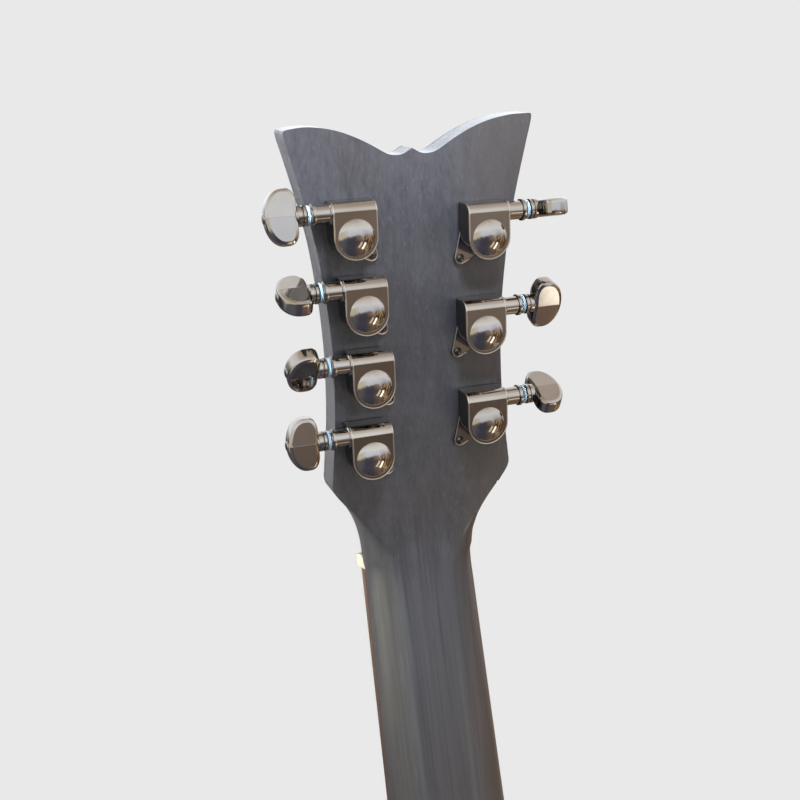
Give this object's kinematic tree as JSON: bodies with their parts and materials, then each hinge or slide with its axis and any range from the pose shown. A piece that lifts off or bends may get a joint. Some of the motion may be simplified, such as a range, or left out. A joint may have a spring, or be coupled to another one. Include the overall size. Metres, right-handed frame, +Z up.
{
  "type": "seven-string acoustic-electric guitar",
  "caption": "Acoustic-electric guitar with a rounded cutaway, a side preamp and sealed worm-gear tuners on both sides of its tilted headstock.",
  "frame": {"origin": "centreline of the neck at the nut's lower edge, in the plane where the fingerboard is glued to the neck", "axes": "+Z up the neck, -Y to the front with the strings, +X to the treble side"},
  "size_m": [0.4, 0.118, 1.0695],
  "materials": {
    "satin_black_wood": "satin, see-through black",
    "rosewood": "oiled",
    "spruce": "raw",
    "mahogany": "raw",
    "black_nickel": "polished smoky plating",
    "steel": "plain",
    "bone": "polished bone",
    "black_plastic": "satin moulded",
    "string_metal": "bronze-wound and plain steel",
    "battery_case": "plain printed can, no label"
  },
  "bodies": {
    "guitar": {"tuner_housing_1": "black_nickel", "tuner_bushing_1": "black_nickel", "string_1": "string_metal", "tuner_housing_2": "black_nickel", "tuner_bushing_2": "black_nickel", "string_2": "string_metal", "tuner_housing_3": "black_nickel", "tuner_bushing_3": "black_nickel", "string_3": "string_metal", "tuner_housing_4": "black_nickel", "tuner_bushing_4": "black_nickel", "string_4": "string_metal", "tuner_housing_5": "black_nickel", "tuner_bushing_5": "black_nickel", "string_5": "string_metal", "tuner_housing_6": "black_nickel", "tuner_bushing_6": "black_nickel", "string_6": "string_metal", "tuner_housing_7": "black_nickel", "tuner_bushing_7": "black_nickel", "string_7": "string_metal", "neck": "satin_black_wood", "headplate": "satin_black_wood", "soundboard": "satin_black_wood", "rim": "satin_black_wood", "back_plate": "satin_black_wood", "fingerboard": "rosewood", "bridge": "rosewood", "top_bracing": "spruce", "back_bracing": "spruce", "neck_block": "mahogany", "tail_block": "mahogany", "truss_rod": "steel", "endpin_jack": "steel", "strap_button": "steel", "nut": "bone", "saddle": "bone", "truss_rod_cover": "black_plastic", "pickup_strip": "black_plastic", "preamp_panel": "black_plastic", "battery": "battery_case"},
    "tuner_key_1_body": {"tuner_key_1": "black_nickel"},
    "tuner_key_2_body": {"tuner_key_2": "black_nickel"},
    "tuner_key_3_body": {"tuner_key_3": "black_nickel"},
    "tuner_key_4_body": {"tuner_key_4": "black_nickel"},
    "tuner_key_5_body": {"tuner_key_5": "black_nickel"},
    "tuner_key_6_body": {"tuner_key_6": "black_nickel"},
    "tuner_key_7_body": {"tuner_key_7": "black_nickel"},
    "tuner_post_1_body": {"tuner_post_1": "black_nickel"},
    "tuner_post_2_body": {"tuner_post_2": "black_nickel"},
    "tuner_post_3_body": {"tuner_post_3": "black_nickel"},
    "tuner_post_4_body": {"tuner_post_4": "black_nickel"},
    "tuner_post_5_body": {"tuner_post_5": "black_nickel"},
    "tuner_post_6_body": {"tuner_post_6": "black_nickel"},
    "tuner_post_7_body": {"tuner_post_7": "black_nickel"},
    "volume_knob_body": {"volume_knob": "black_plastic"},
    "bass_knob_body": {"bass_knob": "black_plastic"},
    "treble_knob_body": {"treble_knob": "black_plastic"},
    "tuner_button_body": {"tuner_button": "black_plastic"},
    "battery_door_body": {"battery_door": "black_plastic"}
  },
  "joints": [
    {"name": "key_1_spin", "type": "hinge", "parent": "guitar", "child": "tuner_key_1_body", "pos_m": [0.0246, 0.03692, 0.06063], "axis": [1, 0, 0], "continuous": true},
    {"name": "post_1_turn", "type": "hinge", "parent": "guitar", "child": "tuner_post_1_body", "pos_m": [0.0246, 0.01429, 0.05733], "axis": [0, 0.9627, -0.2706], "continuous": true},
    {"name": "key_2_spin", "type": "hinge", "parent": "guitar", "child": "tuner_key_2_body", "pos_m": [0.0229, 0.04502, 0.08941], "axis": [1, 0, 0], "continuous": true},
    {"name": "post_2_turn", "type": "hinge", "parent": "guitar", "child": "tuner_post_2_body", "pos_m": [0.0229, 0.02238, 0.08611], "axis": [0, 0.9627, -0.2706], "continuous": true},
    {"name": "key_3_spin", "type": "hinge", "parent": "guitar", "child": "tuner_key_3_body", "pos_m": [0.0244, 0.05308, 0.1181], "axis": [1, 0, 0], "continuous": true},
    {"name": "post_3_turn", "type": "hinge", "parent": "guitar", "child": "tuner_post_3_body", "pos_m": [0.0244, 0.03044, 0.1148], "axis": [0, 0.9627, -0.2706], "continuous": true},
    {"name": "key_4_spin", "type": "hinge", "parent": "guitar", "child": "tuner_key_4_body", "pos_m": [0.0274, 0.06117, 0.14688], "axis": [1, 0, 0], "continuous": true},
    {"name": "post_4_turn", "type": "hinge", "parent": "guitar", "child": "tuner_post_4_body", "pos_m": [0.0274, 0.03853, 0.14359], "axis": [0, 0.9627, -0.2706], "continuous": true},
    {"name": "key_5_spin", "type": "hinge", "parent": "guitar", "child": "tuner_key_5_body", "pos_m": [-0.0273, 0.0599, 0.14236], "axis": [1, 0, 0], "continuous": true},
    {"name": "post_5_turn", "type": "hinge", "parent": "guitar", "child": "tuner_post_5_body", "pos_m": [-0.0273, 0.03726, 0.13906], "axis": [0, 0.9627, -0.2706], "continuous": true},
    {"name": "key_6_spin", "type": "hinge", "parent": "guitar", "child": "tuner_key_6_body", "pos_m": [-0.0252, 0.04948, 0.1053], "axis": [1, 0, 0], "continuous": true},
    {"name": "post_6_turn", "type": "hinge", "parent": "guitar", "child": "tuner_post_6_body", "pos_m": [-0.0252, 0.02684, 0.102], "axis": [0, 0.9627, -0.2706], "continuous": true},
    {"name": "key_7_spin", "type": "hinge", "parent": "guitar", "child": "tuner_key_7_body", "pos_m": [-0.0253, 0.03904, 0.06814], "axis": [1, 0, 0], "continuous": true},
    {"name": "post_7_turn", "type": "hinge", "parent": "guitar", "child": "tuner_post_7_body", "pos_m": [-0.0253, 0.0164, 0.06484], "axis": [0, 0.9627, -0.2706], "continuous": true},
    {"name": "volume_turn", "type": "hinge", "parent": "guitar", "child": "volume_knob_body", "pos_m": [-0.14461, 0.03, -0.49723], "axis": [-0.9745, 0, -0.2243], "range_deg": [-140, 140]},
    {"name": "bass_turn", "type": "hinge", "parent": "guitar", "child": "bass_knob_body", "pos_m": [-0.14461, 0.058, -0.49723], "axis": [-0.9745, 0, -0.2243], "range_deg": [-140, 140]},
    {"name": "treble_turn", "type": "hinge", "parent": "guitar", "child": "treble_knob_body", "pos_m": [-0.13966, 0.03, -0.5156], "axis": [-0.9548, 0, -0.2972], "range_deg": [-140, 140]},
    {"name": "tuner_button_press", "type": "slide", "parent": "guitar", "child": "tuner_button_body", "axis": [0.9548, 0, 0.2972], "range_m": [0, 0.001], "stiffness_N_per_m": 300},
    {"name": "battery_door_swing", "type": "hinge", "parent": "guitar", "child": "battery_door_body", "pos_m": [-0.12736, 0.044, -0.55774], "axis": [0, -1, 0], "range_deg": [0, 100]}
  ],
  "couplings": [
    {"joint": "post_1_turn", "follows": "key_1_spin", "ratio": -0.071429},
    {"joint": "post_2_turn", "follows": "key_2_spin", "ratio": -0.071429},
    {"joint": "post_3_turn", "follows": "key_3_spin", "ratio": -0.071429},
    {"joint": "post_4_turn", "follows": "key_4_spin", "ratio": -0.071429},
    {"joint": "post_5_turn", "follows": "key_5_spin", "ratio": 0.071429},
    {"joint": "post_6_turn", "follows": "key_6_spin", "ratio": 0.071429},
    {"joint": "post_7_turn", "follows": "key_7_spin", "ratio": 0.071429}
  ]
}
